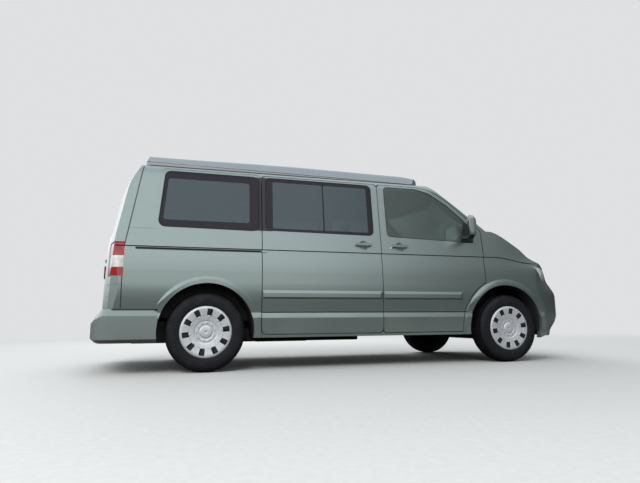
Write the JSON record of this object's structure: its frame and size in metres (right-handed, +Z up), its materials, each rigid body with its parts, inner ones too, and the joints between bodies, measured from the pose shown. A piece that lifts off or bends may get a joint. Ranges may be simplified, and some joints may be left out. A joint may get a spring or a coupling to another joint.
{
  "type": "camper van",
  "caption": "Camper van with a rising roof lid, a sliding side door, a top-hung tailgate and steered front wheels.",
  "frame": {"origin": "on the ground, below the middle of the van's box", "axes": "+X forwards, +Y to the van's left, +Z up"},
  "size_m": [4.8933, 2.2848, 1.9889],
  "materials": {
    "body_paint": "metallic sage green, gloss",
    "roof_paint": "pale grey-green, gloss",
    "black_plastic": "grained",
    "lamp_clear": "clear",
    "lamp_red": "red and clear lenses",
    "chassis_steel": "sprayed dark",
    "engine_metal": "cast",
    "tank_plastic": "moulded",
    "clear_glass": "lightly tinted",
    "dark_glass": "dark tint with a black edge",
    "canvas": "woven",
    "seat_fabric": "woven",
    "cabin_plastic": "grained",
    "cabinet": "laminate",
    "tyre_rubber": "rubber",
    "wheel_silver": "silver lacquer"
  },
  "bodies": {
    "body": {"side_frame_right": "body_paint", "side_frame_left": "body_paint", "roof_frame": "body_paint", "cowl": "body_paint", "front_wings": "body_paint", "front_bumper": "body_paint", "grille": "black_plastic", "headlamps": "lamp_clear", "tail_lamps": "lamp_red", "rear_bumper": "body_paint", "wheel_arch_liners": "black_plastic", "floor_pan": "chassis_steel", "windscreen": "clear_glass", "side_glass": "dark_glass", "sliding_door": "body_paint", "sliding_door_glass": "dark_glass", "slide_rail": "black_plastic", "wipers": "black_plastic", "bellows": "canvas", "front_subframe": "chassis_steel", "rear_axle": "chassis_steel", "engine_block": "engine_metal", "fuel_tank": "tank_plastic", "exhaust": "chassis_steel", "dashboard": "cabin_plastic", "steering_wheel": "cabin_plastic", "front_seats": "seat_fabric", "rear_bench": "seat_fabric", "kitchen_unit": "cabinet"},
    "door_right": {"front_door_right": "body_paint", "door_glass_right": "clear_glass", "mirror_right": "body_paint"},
    "door_left": {"front_door_left": "body_paint", "door_glass_left": "clear_glass", "mirror_left": "body_paint"},
    "tailgate": {"tailgate": "body_paint", "tailgate_glass": "dark_glass"},
    "bonnet": {"bonnet": "body_paint"},
    "roof_lid": {"roof_lid": "roof_paint"},
    "knuckle_right": {"knuckle_right": "chassis_steel"},
    "knuckle_left": {"knuckle_left": "chassis_steel"},
    "wheel_front_right": {"tyre_front_right": "tyre_rubber", "rim_front_right": "wheel_silver"},
    "wheel_front_left": {"tyre_front_left": "tyre_rubber", "rim_front_left": "wheel_silver"},
    "wheel_rear_right": {"tyre_rear_right": "tyre_rubber", "rim_rear_right": "wheel_silver"},
    "wheel_rear_left": {"tyre_rear_left": "tyre_rubber", "rim_rear_left": "wheel_silver"}
  },
  "joints": [
    {"name": "steer_right", "type": "hinge", "parent": "body", "child": "knuckle_right", "pos_m": [1.545, -0.745, 0.336], "axis": [0, 0, 1], "range_deg": [-35, 35]},
    {"name": "steer_left", "type": "hinge", "parent": "body", "child": "knuckle_left", "pos_m": [1.545, 0.745, 0.336], "axis": [0, 0, 1], "range_deg": [-35, 35]},
    {"name": "roll_front_right", "type": "hinge", "parent": "knuckle_right", "child": "wheel_front_right", "pos_m": [1.545, -0.814, 0.336], "axis": [0, 1, 0], "continuous": true},
    {"name": "roll_front_left", "type": "hinge", "parent": "knuckle_left", "child": "wheel_front_left", "pos_m": [1.545, 0.814, 0.336], "axis": [0, 1, 0], "continuous": true},
    {"name": "roll_rear_right", "type": "hinge", "parent": "body", "child": "wheel_rear_right", "pos_m": [-1.455, -0.814, 0.336], "axis": [0, 1, 0], "continuous": true},
    {"name": "roll_rear_left", "type": "hinge", "parent": "body", "child": "wheel_rear_left", "pos_m": [-1.455, 0.814, 0.336], "axis": [0, 1, 0], "continuous": true},
    {"name": "door_right_swing", "type": "hinge", "parent": "body", "child": "door_right", "pos_m": [1.262, -0.955, 0.9], "axis": [0, 0, 1], "range_deg": [0, 68]},
    {"name": "door_left_swing", "type": "hinge", "parent": "body", "child": "door_left", "pos_m": [1.262, 0.955, 0.9], "axis": [0, 0, -1], "range_deg": [0, 68]},
    {"name": "tailgate_lift", "type": "hinge", "parent": "body", "child": "tailgate", "pos_m": [-2.014, 0, 1.806], "axis": [0, 1, 0], "range_deg": [0, 82]},
    {"name": "bonnet_lift", "type": "hinge", "parent": "body", "child": "bonnet", "pos_m": [1.49, 0, 1.325], "axis": [0, -1, 0], "range_deg": [0, 52]},
    {"name": "roof_lid_lift", "type": "hinge", "parent": "body", "child": "roof_lid", "pos_m": [-2.008, 0, 1.868], "axis": [0, -1, 0], "range_deg": [0, 17.5]}
  ],
  "couplings": [
    {"joint": "steer_left", "follows": "steer_right", "ratio": 1}
  ]
}
